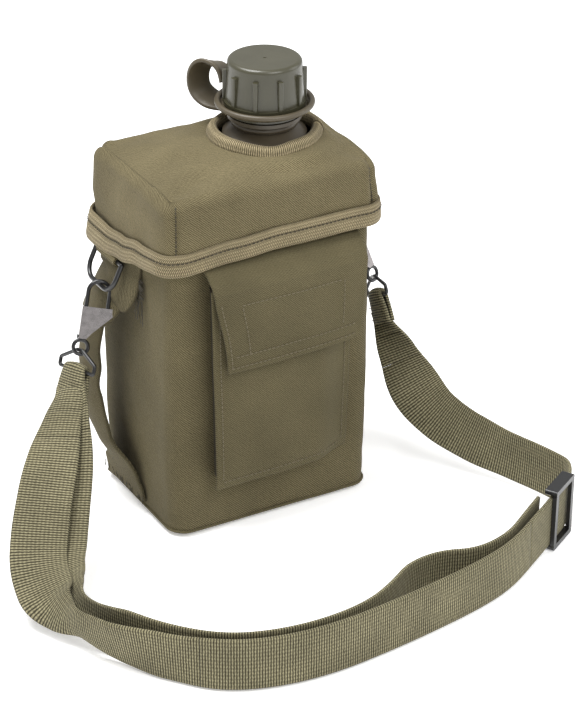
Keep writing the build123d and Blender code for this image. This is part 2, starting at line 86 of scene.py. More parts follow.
class Shader:
    """A principled material and short calls for the nodes that feed it."""

    def __init__(self, name, roughness=0.8, metallic=0.0, sheen=0.0, coat=0.0):
        self.material = bpy.data.materials.new(name)
        self.material.use_nodes = True
        self.tree = self.material.node_tree
        self.body = self.tree.nodes["Principled BSDF"]
        for key, value in (("Roughness", roughness), ("Metallic", metallic), ("Coat Weight", coat),
                           ("Sheen Weight", sheen), ("Sheen Roughness", 0.5),
                           ("Specular IOR Level", MATT_SPECULAR if roughness > MATT_FROM else USUAL_SPECULAR)):
            self.body.inputs[key].default_value = value

    def node(self, kind, inputs=(), **settings):
        n = self.tree.nodes.new(kind)
        for key, value in settings.items():
            setattr(n, key, value)
        for key, value in dict(inputs).items():
            if isinstance(value, bpy.types.NodeSocket):
                self.tree.links.new(value, n.inputs[key])
            else:
                n.inputs[key].default_value = value
        return n

    def place(self):
        """Where a point is on its piece, in metres."""
        return self.node("ShaderNodeTexCoord").outputs["Object"]

    def strip(self):
        """Across and along a strip, in metres, from its own map."""
        parts = self.node("ShaderNodeSeparateXYZ",
                          {"Vector": self.node("ShaderNodeTexCoord").outputs["UV"]})
        return parts.outputs["X"], parts.outputs["Y"]

    def noise(self, scale, detail=3.0, vector=None):
        return self.node("ShaderNodeTexNoise",
                         {"Vector": vector or self.place(), "Scale": scale, "Detail": detail}).outputs["Fac"]

    def math(self, operation, a, b=0.0, c=0.0):
        return self.node("ShaderNodeMath", {0: a, 1: b, 2: c}, operation=operation).outputs[0]

    def wave(self, value, pitch):
        """A sine of that pitch in metres along a value, from 0 to 1."""
        swing = self.math("SINE", self.math("MULTIPLY", value, TAU / pitch))
        return self.math("MULTIPLY_ADD", swing, 0.5, 0.5)

    def ramp(self, value, *stops):
        """A colour for a value, by (value, colour) stops."""
        n = self.node("ShaderNodeValToRGB", {"Fac": value})
        while len(n.color_ramp.elements) < len(stops):
            n.color_ramp.elements.new(0.5)
        for element, (at, colour) in zip(n.color_ramp.elements, stops):
            element.position = at
            element.color = colour
        return n.outputs["Color"]

    def blotch(self, colour, scale=22.0, low=0.86, high=1.12):
        """Uneven dye: the colour times a slow noise."""
        grey = self.ramp(self.noise(scale), (0.3, (low, low, low, 1)), (0.7, (high, high, high, 1)))
        return self.node("ShaderNodeMix", {"Factor": 1.0, 6: colour, 7: grey},
                         data_type="RGBA", blend_type="MULTIPLY").outputs[2]

    def paint(self, colour):
        self.tree.links.new(colour, self.body.inputs["Base Color"])

    def bump(self, height, distance, strength=1.0, under=None):
        """Relief of that depth in metres, on top of the relief under it."""
        n = self.node("ShaderNodeBump", {"Height": height, "Distance": distance, "Strength": strength})
        if under:
            self.tree.links.new(under, n.inputs["Normal"])
        self.tree.links.new(n.outputs["Normal"], self.body.inputs["Normal"])
        return n.outputs["Normal"]


FIBRE = 2600.0      # scale of the noise that stands for single fibres
YARN_LOOSE = 900.0  # scale of the noise that shifts the yarns of a twill


def twill(name, dark, light, pitch=1.5, mapped=False):
    """Diagonal weave with ribs of that pitch in millimetres. Mapped cloth takes it from its own map, other
    cloth from planes of equal x + y + z, which cut each face on the slant."""
    s = Shader(name, roughness=0.88, sheen=0.03)
    loose = s.math("MULTIPLY", s.noise(YARN_LOOSE, 2.0), 1.2 * MM)
    if mapped:
        u, v = s.strip()
        slant, other = s.math("ADD", u, v), s.math("SUBTRACT", u, v)
    else:
        parts = s.node("ShaderNodeSeparateXYZ", {"Vector": s.place()})
        slant = s.math("ADD", s.math("ADD", parts.outputs["X"], parts.outputs["Y"]), parts.outputs["Z"])
        other = s.math("SUBTRACT", s.math("SUBTRACT", parts.outputs["X"], parts.outputs["Z"]),
                       parts.outputs["Y"])
    ribs = s.wave(s.math("ADD", slant, loose), pitch * MM)
    cross = s.wave(other, pitch * 0.62 * MM)
    yarn = s.math("ADD", s.math("MULTIPLY", ribs, 0.62), s.math("MULTIPLY", cross, 0.18))
    yarn = s.math("ADD", yarn, s.math("MULTIPLY", s.noise(FIBRE, 2.0), 0.3))
    s.paint(s.blotch(s.ramp(yarn, (0.2, dark), (0.85, light))))
    creases = s.bump(s.noise(55.0, 4.0), 1.1 * MM, 0.35)
    s.bump(yarn, 0.22 * MM, 0.75, creases)
    return s.material


def webbing(name, dark, light, across=2.3, along=1.5, dots=0.35):
    """Plain ribbed webbing: cross ribs broken into small light grains. Both pitches are in millimetres."""
    s = Shader(name, roughness=0.82, sheen=0.05)
    u, v = s.strip()
    slip = s.math("MULTIPLY", s.noise(700.0, 2.0), 0.7 * MM)
    rib = s.wave(s.math("ADD", v, slip), along * MM)
    grain = s.wave(s.math("ADD", u, slip), across * MM)
    yarn = s.math("ADD", s.math("MULTIPLY", rib, 0.5),
                  s.math("MULTIPLY", s.math("MULTIPLY", rib, grain), dots))
    yarn = s.math("ADD", yarn, s.math("MULTIPLY", s.noise(2400.0, 2.0), 0.25))
    s.paint(s.blotch(s.ramp(yarn, (0.15, dark), (0.9, light)), 35.0))
    s.bump(yarn, 0.3 * MM, 0.8)
    return s.material


def plastic(name, colour, roughness, grain=900.0, depth=0.04, coat=0.0):
    """Moulded plastic, thread or fuzz: grain is the scale of its relief and depth is in millimetres."""
    s = Shader(name, roughness=roughness, coat=coat)
    s.paint(s.blotch(colour, 60.0, 0.93, 1.07))
    s.bump(s.noise(grain, 3.0), depth * MM, 0.5)
    uneven = s.node("ShaderNodeMapRange", {"Value": s.noise(140.0), "To Min": roughness - 0.06,
                                           "To Max": roughness + 0.1})
    s.tree.links.new(uneven.outputs["Result"], s.body.inputs["Roughness"])
    return s.material


def metal(name, colour, roughness, metallic, coat=0.0):
    s = Shader(name, roughness=roughness, metallic=metallic, coat=coat)
    s.paint(s.blotch(colour, 300.0, 0.85, 1.15))
    s.bump(s.noise(1500.0, 2.0), 0.03 * MM, 0.4)
    return s.material


DYE = linear(56, 51, 35), linear(114, 105, 78)
CLOTH = twill("cover_twill", *DYE)
WALL_CLOTH = twill("wall_twill", *DYE, mapped=True)
LID_CLOTH = twill("lid_twill", linear(62, 56, 38), linear(124, 114, 86), 1.4, mapped=True)
POCKET_CLOTH = twill("pocket_twill", linear(58, 53, 37), linear(108, 100, 74), 1.3)
LINING = plastic("lining_coated", linear(58, 56, 44), 0.7, 400.0, 0.2)
BINDING = webbing("binding_grosgrain", linear(70, 63, 45), linear(168, 154, 122), 1.9, 1.2, 0.45)
STRAP = webbing("strap_webbing", linear(48, 45, 33), linear(152, 145, 115))
BAND = twill("band_twill", linear(56, 51, 36), linear(108, 100, 76), 1.2, mapped=True)
# the pocket's side wall gets a twill painted darker than the pocket's: painted shade for the slit between the
# pouch and the pocket
GUSSET_PAINTED_SHADE_CLOTH = twill("gusset_twill_painted_shade", linear(36, 33, 24), linear(72, 66, 50), 1.3)
THREAD = plastic("sewing_thread", linear(104, 96, 74), 0.7, 2500.0, 0.1)
DARK_THREAD = plastic("tack_thread", linear(58, 53, 40), 0.7, 2500.0, 0.1)
FUZZ = plastic("hook_and_loop", linear(60, 58, 42), 0.95, 1800.0, 0.6)
BOTTLE = plastic("bottle_plastic", linear(70, 62, 48), 0.36)
CAP = plastic("cap_plastic", linear(61, 59, 43), 0.33, 1200.0, 0.03, 0.2)
TETHER = plastic("tether_plastic", linear(76, 68, 52), 0.42)
GASKET = plastic("gasket", linear(40, 40, 36), 0.6)
BLACK_WIRE = metal("black_wire", linear(14, 14, 15), 0.3, 0.0, 0.35)
GATE = metal("gate_steel", linear(168, 163, 162), 0.2, 1.0, 0.2)
SLIDER = plastic("slider_plastic", linear(22, 22, 23), 0.38, coat=0.25)


def dress(name, material):
    """A CAD part whose shape is right keeps it and takes a finish."""
    o = nodes[name]
    o.data.materials.clear()
    o.data.materials.append(material)


for name, material, slot in (
    ("bottle", BOTTLE, "bottle_plastic"), ("bottle_thread", BOTTLE, "bottle_plastic"),
    ("neck_ring", BOTTLE, "bottle_plastic"), ("bottle_cap", CAP, "cap_plastic"),
    ("cap_thread", CAP, "cap_plastic"), ("cap_liner", GASKET, "gasket"),
    ("cap_retainer_ring", TETHER, "tether_plastic"), ("cover_padding", LINING, "lining"),
    ("rear_hinge_tape", CLOTH, "binding_tape"),
    ("pocket_loop_tape", FUZZ, "hook_and_loop"), ("flap_hook_tape", FUZZ, "hook_and_loop"),
    ("slider", SLIDER, "slider_plastic"),
):
    dress(name, material)
for side in ("left", "right"):
    for part in ("d_ring", "hook_wire", "strap_link", "gate_spring"):
        dress(f"{part}_{side}", BLACK_WIRE)
    dress(f"hook_gate_{side}", GATE)
    dress(f"gate_rivet_{side}", BLACK_WIRE)
    dress(f"ring_tab_{side}", CLOTH)


# ---- mesh helpers --------------------------------------------------------------
def add_mesh(name, points, faces, material, body="root", maps=None):
    """A piece of its own, smooth, with its material and riding on a body; one made with no body rides on none.
    """
    mesh = bpy.data.meshes.new(name)
    mesh.from_pydata([tuple(p) for p in points], [], faces)
    if maps:
        layer = mesh.uv_layers.new(name="strip")
        for loop in mesh.loops:
            layer.data[loop.index].uv = maps[loop.vertex_index]
    grown = bmesh.new()
    grown.from_mesh(mesh)
    bmesh.ops.recalc_face_normals(grown, faces=grown.faces)
    grown.to_mesh(mesh)
    grown.free()
    mesh.materials.append(material)
    for polygon in mesh.polygons:
        polygon.use_smooth = True
    o = bpy.data.objects.new(name, mesh)
    scene.collection.objects.link(o)
    if body:
        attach(o, body)
    return o


def thicken(o, depth):
    """Make the sheet a closed cloth of that thickness in millimetres, inward from its face."""
    modifier = o.modifiers.new("thick", "SOLIDIFY")
    modifier.thickness, modifier.offset = depth * MM, -1.0
    mesh = bpy.data.meshes.new_from_object(o.evaluated_get(bpy.context.evaluated_depsgraph_get()))
    o.modifiers.clear()
    o.data = mesh


def smoothstep(x):
    x = min(1.0, max(0.0, x))
    return x * x * (3 - 2 * x)


def between(table, x):
    """Smooth interpolation in (x, value) pairs."""
    if x <= table[0][0]:
        return table[0][1]
    for (x0, v0), (x1, v1) in zip(table, table[1:]):
        if x <= x1:
            return v0 + (v1 - v0) * smoothstep((x - x0) / (x1 - x0))
    return table[-1][1]


def wobble(p, scale, depth, seed=0.0):
    """Smooth unevenness at a point, up to about that depth."""
    return depth * noise.noise(Vector(p) * scale + Vector((seed, seed * 0.7, seed * 1.3)))


def outline(half_x, half_y, radius, count):
    """(point, outward normal) pairs at equal steps round a rounded rectangle, from the middle of +X."""
    straight_x, straight_y = half_x - radius, half_y - radius
    quarter = math.pi / 2 * radius
    parts = [("line", straight_y, (half_x, 0), (0, 1)), ("arc", quarter, (straight_x, straight_y), 0),
             ("line", 2 * straight_x, (straight_x, half_y), (-1, 0)),
             ("arc", quarter, (-straight_x, straight_y), 1),
             ("line", 2 * straight_y, (-half_x, straight_y), (0, -1)),
             ("arc", quarter, (-straight_x, -straight_y), 2),
             ("line", 2 * straight_x, (-straight_x, -half_y), (1, 0)),
             ("arc", quarter, (straight_x, -straight_y), 3),
             ("line", straight_y, (half_x, -straight_y), (0, 1))]
    whole = sum(p[1] for p in parts)
    made = []
    for i in range(count):
        left = whole * i / count
        for kind, length, start, way in parts:
            if left <= length:
                break
            left -= length
        if kind == "line":
            p = (start[0] + way[0] * left, start[1] + way[1] * left)
            n = (way[1], -way[0])
        else:
            turn = way * math.pi / 2 + left / radius
            n = (math.cos(turn), math.sin(turn))
            p = (start[0] + radius * n[0], start[1] + radius * n[1])
        made.append((p, n))
    return made


def rings_to_faces(rows, count, close_first=False, close_last=False):
    """Faces between rows of points that each go round once, with or without an end face."""
    faces = [(r * count + i, r * count + (i + 1) % count,
              (r + 1) * count + (i + 1) % count, (r + 1) * count + i)
             for r in range(rows - 1) for i in range(count)]
    if close_first:
        faces.append(tuple(range(count))[::-1])
    if close_last:
        faces.append(tuple((rows - 1) * count + i for i in range(count)))
    return faces


def tube_faces(rows, count):
    """Faces of a section that closes on itself, so that the last row is joined to the first."""
    return rings_to_faces(rows, count) + [((rows - 1) * count + i, (rows - 1) * count + (i + 1) % count,
                                           (i + 1) % count, i) for i in range(count)]


def spline(points, step=2.5):
    """Even points along a spline guided by these points, in millimetres."""
    curve = bpy.data.curves.new("guide", "CURVE")
    curve.dimensions = "3D"
    line = curve.splines.new("NURBS")
    line.points.add(len(points) - 1)
    for target, p in zip(line.points, points):
        target.co = (*[c * MM for c in p], 1.0)
    line.order_u = 3
    line.use_endpoint_u = True
    line.resolution_u = 16
    o = bpy.data.objects.new("guide", curve)
    scene.collection.objects.link(o)
    mesh = bpy.data.meshes.new_from_object(o.evaluated_get(bpy.context.evaluated_depsgraph_get()))
    raw = [v.co / MM for v in mesh.vertices]
    bpy.data.objects.remove(o)
    bpy.data.meshes.remove(mesh)
    return even(raw, step)


def even(raw, step):
    """The same line with points at even steps."""
    reach = [0.0]
    for a, b in zip(raw, raw[1:]):
        reach.append(reach[-1] + (b - a).length)
    count = max(2, round(reach[-1] / step) + 1)
    made, k = [], 0
    for i in range(count):
        s = reach[-1] * i / (count - 1)
        while k < len(raw) - 2 and reach[k + 1] < s:
            k += 1
        span = reach[k + 1] - reach[k]
        made.append(raw[k].lerp(raw[k + 1], (s - reach[k]) / span if span else 0.0))
    return made


def length_of(line):
    return sum((b - a).length for a, b in zip(line, line[1:]))


def tangents(line):
    last = len(line) - 1
    return [(line[min(i + 1, last)] - line[max(i - 1, 0)]).normalized() for i in range(last + 1)]


# half a section of webbing, in shares of half its width and of its thickness, with a thicker woven edge
HALF_SECTION = [(-1.0, 0.0), (-0.975, 0.5), (-0.9, 0.62), (-0.45, 0.5), (0.0, 0.5), (0.45, 0.5), (0.9, 0.62),
                (0.975, 0.5)]
SECTION = HALF_SECTION + [(-a, -b) for a, b in HALF_SECTION]
BACK_SHIFT = 40.0  # the map of the back lies beside that of the front


def ribbon(name, line, side, width, thick, material, body="root", cup=None, start=0.0):
    """A closed flat strip. At point i of the line, side(i) is its direction across and width(i) its width, and
    cup(i, a) lifts it at a, from -1 to 1 across. start is how far along the webbing it begins."""
    points, maps = [], []
    way, run = tangents(line), start
    for i, p in enumerate(line):
        across = side(i) - way[i] * way[i].dot(side(i))
        across.normalize()
        face = way[i].cross(across)
        if i:
            run += (p - line[i - 1]).length
        for a, b in SECTION:
            half = width(i) / 2
            lift = b * thick + (cup(i, a) if cup else 0.0)
            points.append((p + across * (a * half) + face * lift) * MM)
            maps.append(((a * half + (BACK_SHIFT if b < 0 else 0.0)) * MM, run * MM))
    faces = rings_to_faces(len(line), len(SECTION), True, True)
    return add_mesh(name, points, faces, material, body, maps)


def cloth_patch(name, at, columns, rows, thick, material, body="root"):
    """A closed piece of cloth: at(u, v) is its face, u and v from 0 to 1, and it is thick behind it."""
    face = [[at(c / columns, r / rows) for c in range(columns + 1)] for r in range(rows + 1)]
    points, back = [], []
    for r in range(rows + 1):
        for c in range(columns + 1):
            along = face[r][min(c + 1, columns)] - face[r][max(c - 1, 0)]
            up = face[min(r + 1, rows)][c] - face[max(r - 1, 0)][c]
            out = along.cross(up).normalized()
            points.append(face[r][c] * MM)
            back.append((face[r][c] - out * thick) * MM)
    wide = columns + 1
    total = wide * (rows + 1)
    faces = []
    for r in range(rows):
        for c in range(columns):
            q = (r * wide + c, r * wide + c + 1, (r + 1) * wide + c + 1, (r + 1) * wide + c)
            faces += [q, tuple(total + k for k in reversed(q))]
    rim = (list(range(wide)) + [r * wide + columns for r in range(1, rows + 1)]
           + [rows * wide + c for c in range(columns - 1, -1, -1)]
           + [r * wide for r in range(rows - 1, 0, -1)])
    for a, b in zip(rim, rim[1:] + rim[:1]):
        faces.append((b, a, total + a, total + b))
    return add_mesh(name, points + back, faces, material, body)


def tube(points, radius, sides=8):
    """Points and faces of a round cord along a line, to be joined into one mesh."""
    made = []
    for p, t in zip(points, tangents(points)):
        across = t.cross(UP)
        if across.length < 0.2:
            across = t.cross(Vector((0, 1, 0)))
        across.normalize()
        over = across.cross(t)
        made += [(p + across * radius * math.cos(TAU * k / sides)
                  + over * radius * math.sin(TAU * k / sides)) * MM for k in range(sides)]
    return made, rings_to_faces(len(points), sides, True, True)


def joined(name, bits, material, body="root"):
    """One piece made of many small closed meshes."""
    points, faces = [], []
    for p, f in bits:
        base = len(points)
        points += p
        faces += [tuple(base + k for k in face) for face in f]
    return add_mesh(name, points, faces, material, body)


BEAD_RINGS = [(0.0, 0.35), (0.2, 0.95), (0.5, 1.1), (0.8, 0.95), (1.0, 0.35)]  # how thick, along a stitch
BEAD_SIDES = 6


def bead(a, b, out, radius):
    """One stitch from a to b, lying on cloth whose normal is out."""
    way = (b - a).normalized()
    across = way.cross(out).normalized()
    points = []
    for t, r in BEAD_RINGS:
        centre = a.lerp(b, t) + out * radius * (0.9 * math.sin(math.pi * t) - 0.25)
        points += [(centre + across * radius * r * math.cos(TAU * k / BEAD_SIDES)
                    + out * radius * r * math.sin(TAU * k / BEAD_SIDES)) * MM for k in range(BEAD_SIDES)]
    return points, rings_to_faces(len(BEAD_RINGS), BEAD_SIDES, True, True)


def stitch_row(line, out, pitch=2.8, share=0.7, radius=0.33):
    """Stitches along a line on cloth. out is the cloth's normal, or gives it at a point."""
    fine = even(line, 0.4)
    whole = length_of(fine)
    bits = []
    for i in range(int(whole / pitch)):
        a = fine[min(len(fine) - 1, round(i * pitch / whole * (len(fine) - 1)))]
        b = fine[min(len(fine) - 1, round((i + share) * pitch / whole * (len(fine) - 1)))]
        if (b - a).length > 0.3:
            bits.append(bead(a, b, out(a) if callable(out) else out, radius))
    return bits


# ---- shoulder strap, the route first ---------------------------------------------
STRAP_WIDTH, STRAP_THICK = 32.0, 1.9
DROP = [(97.4, -4.6, 90.5), (101.0, -18, 68), (104.5, -34, 48), (112, -48, 35), (125, -66, 25.5),
        (138, -88, 20.8), (147, -111, 20.2)]
GROUND = [(153, -138, 20.2), (104, -168, 19), (76, -184, 17), (46, -192.5, 16.8), (14, -198.2, 16.8),
          (-18, -202.6, 16.8), (-50, -205.5, 16.8), (-82, -202.5, 16.8), (-110, -192, 16.8),
          (-133, -170, 16.8), (-151, -145, 16.8), (-162, -124, 16.6)]
CLIMB = [(-166, -104, 16.6), (-165, -86, 19.5), (-161.5, -69, 26), (-154.5, -56.5, 36),
         (-144, -42, 51), (-131.5, -28, 67), (-118.5, -12, 80), (-107.6, -0.6, 90.5)]
RETURN_CLIMB = [(-104.2, 1.0, 90), (-112.5, -12, 80), (-122.5, -28, 65), (-133.5, -44, 47), (-143.5, -58.5, 33),
                (-152.5, -74.5, 22), (-157, -94, 17.2)]
RETURN = [(-154.5, -113, 16.8), (-143.5, -139, 17), (-128.5, -164, 16.8), (-107, -185.5, 16.8),
          (-81, -195.5, 16.8), (-52, -198.5, 16.8), (-24, -195, 16.8), (-3, -185, 16.8),
          (14, -173.5, 16.8), (36, -171.5, 16.8), (55, -180, 17), (78, -176.5, 18), (100, -162.5, 19.6),
          (112.7, -154.7, 20.2)]
GATHER_REACH, GATHERED_BY = 55, 11.0  # how far from a link the webbing is squeezed, and by how much
TURN = Vector((-162, -117, 16.6))
TURN_REACH, CREASED_BY = 34, 13.0     # the same where it turns on the ground

# each link's bar: its middle, its direction and the way up to the hook
BAR_LEFT, AXIS_LEFT, UP_LEFT = (Vector(v) for v in (
    (-101.33, 3.16, 98.22), (0.2565, -0.9542, 0.1539), (0.3535, 0.2408, 0.9039)))
BAR_RIGHT, AXIS_RIGHT, UP_RIGHT = (Vector(v) for v in (
    (97.26, 0.15, 98.67), (-0.1, -0.8602, 0.5001), (0.0003, 0.5026, 0.8645)))

# the way across the webbing at each point of its two layers
LEVEL = (0.866, -0.5, 0)
OUTER_SIDES = [AXIS_RIGHT, (0.5, -0.75, 0.3), (0.82, -0.45, 0.3), (0.55, -0.33, 0.75), (0.3, -0.2, 0.93),
               *[UP] * 11, (-0.12, -0.05, 0.99), (-0.3, -0.1, 0.95), (-0.15, -0.1, 0.97), (0.5, -0.3, 0.8),
               (0.83, -0.48, 0.25), LEVEL, LEVEL, (0.76, -0.64, 0.03), (0.66, -0.74, 0.06), (0.5, -0.84, 0.1),
               AXIS_LEFT]
INNER_SIDES = [AXIS_LEFT, (0.5, -0.84, 0.1), (0.66, -0.74, 0.06), (0.78, -0.62, 0.03), LEVEL,
               (0.8, -0.46, 0.3), (0.66, -0.38, 0.62), (0.45, -0.25, 0.85), *[UP] * 13]
strap = {}  # each piece of webbing and the line it follows


def lay_strap(controls, sides, cuts):
    """One run of webbing, cut into the pieces that move apart: (name, from, to) by share of the run."""
    line = spline(controls)
    last, whole = len(line) - 1, length_of(line)
    reach = [0.0]
    for a, b in zip(controls, controls[1:]):
        reach.append(reach[-1] + (Vector(b) - Vector(a)).length)
    squeezed = [at for at, cut in ((0.0, cuts[0]), (whole, cuts[-1])) if cut[0].endswith("top")]
    for name, share, next_share in cuts:
        first = round(share * last)
        part = line[first:round(next_share * last) + 1]

        def side(i):
            """The way across, eased from each control to the next."""
            at = (first + i) / last * reach[-1]
            k = max(j for j in range(len(reach) - 1) if reach[j] <= at + 1e-9)
            t = smoothstep((at - reach[k]) / (reach[k + 1] - reach[k]))
            return Vector(sides[k]).lerp(Vector(sides[k + 1]), t)

        def gather(i):
            """From 1 at an end that is squeezed into a link to 0 where the webbing lies flat."""
            run = (first + i) / last * whole
            return max(1 - smoothstep(abs(run - at) / GATHER_REACH) for at in squeezed)

        def turned(i):
            """From 1 where the webbing creases as it turns on the ground to 0 away from there."""
            return 1 - smoothstep((part[i] - TURN).length / TURN_REACH)

        o = ribbon(name, part, side, lambda i: STRAP_WIDTH - GATHERED_BY * gather(i) - CREASED_BY * turned(i),
                   STRAP_THICK, STRAP, None,
                   lambda i, a: (0.25 + 2.2 * gather(i) + 2.5 * turned(i)) * a * a, length_of(line[:first + 1]))
        strap[name] = (o, part)


lay_strap(DROP + GROUND + CLIMB, OUTER_SIDES, [
    ("strap_right_top", 0.0, 0.02), ("strap_right_neck", 0.02, 0.045), ("strap_right_drop", 0.045, 0.34),
    ("strap_ground_run", 0.34, 0.66),
    ("strap_left_climb", 0.66, 0.955), ("strap_left_neck", 0.955, 0.98), ("strap_left_top", 0.98, 1.0)])
lay_strap(RETURN_CLIMB + RETURN, INNER_SIDES, [
    ("strap_return_top", 0.0, 0.03), ("strap_return_neck", 0.03, 0.065),
    ("strap_left_climb_return", 0.065, 0.5), ("strap_return_run", 0.5, 1.0)])

for name, node in (("strap_right_drop", "strap_drop"), ("strap_ground_run", "shoulder_strap"),
                   ("strap_left_climb", "strap_climb_outer"),
                   ("strap_left_climb_return", "strap_climb_return"), ("strap_return_run", "strap_return")):
    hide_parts(node)
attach(strap["strap_ground_run"][0], "root")
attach(strap["strap_return_run"][0], "root")


def hang(names, side):
    """Pieces that follow one another up to a hook, the lowest first. Each is paired with the body below it and
    the one above, and has its transform baked into its mesh."""
    bodies = ["root", f"ring_{side}", f"hook_{side}", f"link_{side}"]
    for name, low, high in zip(names, bodies, bodies[1:]):
        o, line = strap[name]
        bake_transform(o)


hang(["strap_right_drop", "strap_right_neck", "strap_right_top"], "right")
hang(["strap_left_climb", "strap_left_neck", "strap_left_top"], "left")
hang(["strap_left_climb_return", "strap_return_neck", "strap_return_top"], "left")


def sewn_fold(name, bar, axis, up, body, node):
    """The sewn end of the strap, folded over the bar of the link."""
    out = axis.cross(up).normalized()
    line = spline([bar - up * 17 + out * 2.9, bar - up * 9 + out * 2.8, bar + out * 3.4 + up * 0.5,
                   bar + out * 2.2 + up * 3.6, bar - out * 2.2 + up * 3.6, bar - out * 3.4 + up * 0.5,
                   bar - up * 9 - out * 2.8, bar - up * 17 - out * 2.9], 1.0)
    middle = (len(line) - 1) / 2
    fold = ribbon(name, line, lambda i: axis, lambda i: 17 + 6 * smoothstep(abs(i - middle) / middle * 1.2),
                  1.7, STRAP, body, lambda i, a: 1.6 * a * a)
    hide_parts(node)
    rows = []
    for face in (out, -out):
        for down in (7.0, 14.5):
            ends = [bar - up * down + face * 3.9 + axis * a for a in (-9.0, 9.0)]
            rows += stitch_row(ends, face, 2.4)
    joined(name + "_stitches", rows, THREAD, body)
    return fold


fold_left = sewn_fold("strap_fold_cloth_left", BAR_LEFT, AXIS_LEFT, UP_LEFT, "link_left", "strap_fold_left")
fold_right = sewn_fold("strap_fold_cloth_right", BAR_RIGHT, AXIS_RIGHT, UP_RIGHT, "link_right",
                       "strap_end_right")

# ---- padded cover ------------------------------------------------------------------
AROUND = 288  # points round the cover
BODY_X, BODY_Y, BODY_CORNER = 65.0, 47.0, 11.0
BODY_TOP = 190.0  # it ends inside the hood
LEVELS = [0.0, 0.6, 1.5, 2.6, 4.0, 6.0]
LEVELS += [LEVELS[-1] + (BODY_TOP - LEVELS[-1]) * k / 84 for k in range(1, 85)]


def girth(half_x, half_y, radius):
    """The way round a rounded rectangle."""
    return 4 * (half_x + half_y - 2 * radius) + TAU * radius


def body_wall(z):
    """How far the wall stands out at that height: tucked in at the base, full in the middle."""
    return between([(0, -3.2), (1.5, -1.0), (4, 0.0), (12, 0.4), (90, 1.0), (150, 0.2), (190, -0.6)], z)


points, maps = [], []
for z in LEVELS:
    for i, ((x, y), (nx, ny)) in enumerate(outline(BODY_X, BODY_Y, BODY_CORNER, AROUND)):
        maps.append((girth(BODY_X, BODY_Y, BODY_CORNER) * i / AROUND * MM, z * MM))
        flat = 1 - abs(nx * ny) * 2  # 1 on a wall, 0 in the middle of a corner
        swell = body_wall(z) + 0.9 * flat * math.sin(math.pi * min(1, z / 180)) * (
            math.cos(math.pi * x / 150) * math.cos(math.pi * y / 110))
        swell += wobble((x, y, z), 0.028, 0.9) + wobble((x, y, z), 0.09, 0.3, 5)
        points.append(Vector((x + nx * swell, y + ny * swell, z)) * MM)
cover = add_mesh("cover_pouch", points, rings_to_faces(len(LEVELS), AROUND, True), WALL_CLOTH,
                 "root", maps)
thicken(cover, 1.4)
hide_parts("cover_body")

piping_line = [Vector((x, y, 3.2)) for (x, y), n in outline(BODY_X + 0.1, BODY_Y + 0.1, BODY_CORNER + 0.2, 160)]
piping_line.append(piping_line[0].copy())
piping = joined("base_seam_piping", [tube(piping_line, 0.9)], POCKET_CLOTH)
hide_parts("base_piping")

# ---- lid ---------------------------------------------------------------------------
NECK, HOLE = Vector((19, 0, 0)), 30.5
LID_X, LID_Y, LID_CORNER = 68.6, 49.4, 12.0
DART_X = 62.0
LID_FOOT, SHOULDER_Z, LID_TOP = 174.0, 208.0, 221.5
SHOULDER, SHOULDER_TURN = 7.5, math.radians(78)  # the rounded edge between the lid's wall and its top
LEAN = [(LID_FOOT - 2, 0.6), (185, 0.9), (206, -0.5)]


def lid_point(p, n, stage, t):
    """A point of the lid: stage 0 is the wall, 1 the rounded edge and 2 the top, t from 0 to 1 in each."""
    (x, y), (nx, ny) = p, n
    corner = math.exp(-((math.hypot(abs(x) - LID_X, abs(y) - LID_Y)) / 20) ** 2)
    low = SHOULDER_Z - corner * (2.8 if y < 0 else 0.6)  # the edge droops at the corners
    lean = LEAN[-1][1]
    if stage == 0:
        lean = between(LEAN, LEAN[0][0] + (SHOULDER_Z - LID_FOOT) * t)
        q = Vector((x + nx * lean, y + ny * lean, LID_FOOT + (low - LID_FOOT) * t))
    else:
        turn = SHOULDER_TURN * (t if stage == 1 else 1)
        lean -= SHOULDER * (1 - math.cos(turn))
        q = Vector((x + nx * lean, y + ny * lean, low + SHOULDER * math.sin(turn)))
    if stage == 2:
        low = q.z
        phi = math.atan2(y, x - NECK.x)
        q = Vector((q.x, q.y, 0)).lerp(NECK + Vector((math.cos(phi), math.sin(phi), 0)) * HOLE, t)
        dome = (1 - min(1, abs(q.x) / 61.5) ** 2.6) * (1 - min(1, abs(q.y) / 43.7) ** 2.6)
        ring = math.exp(-(max(0.0, (q - NECK).to_2d().length - HOLE) / 12) ** 2)
        q.z = low + (LID_TOP - low) * (dome + (1 - dome) * ring * smoothstep(dome * 3))
    swell = wobble(q, 0.03, 1.5, 3) + wobble(q, 0.085, 0.5, 9)
    for dart in (-DART_X, DART_X):
        near = math.exp(-((q.x - dart) / 1.3) ** 2)
        reach = smoothstep((q.z - 182) / 6) * (1.0 if stage < 2 else max(0.0, 1 - 6 * t))
        reach *= smoothstep((abs(y) - 40) / 5)
        swell += (0.8 * math.exp(-((abs(q.x - dart) - 4.5) / 2.6) ** 2) - 2.0 * near) * reach
    lift = (0.0, t, 1.0)[stage]
    return q + Vector((nx * swell * (1 - lift), ny * swell * (1 - lift), swell * lift))


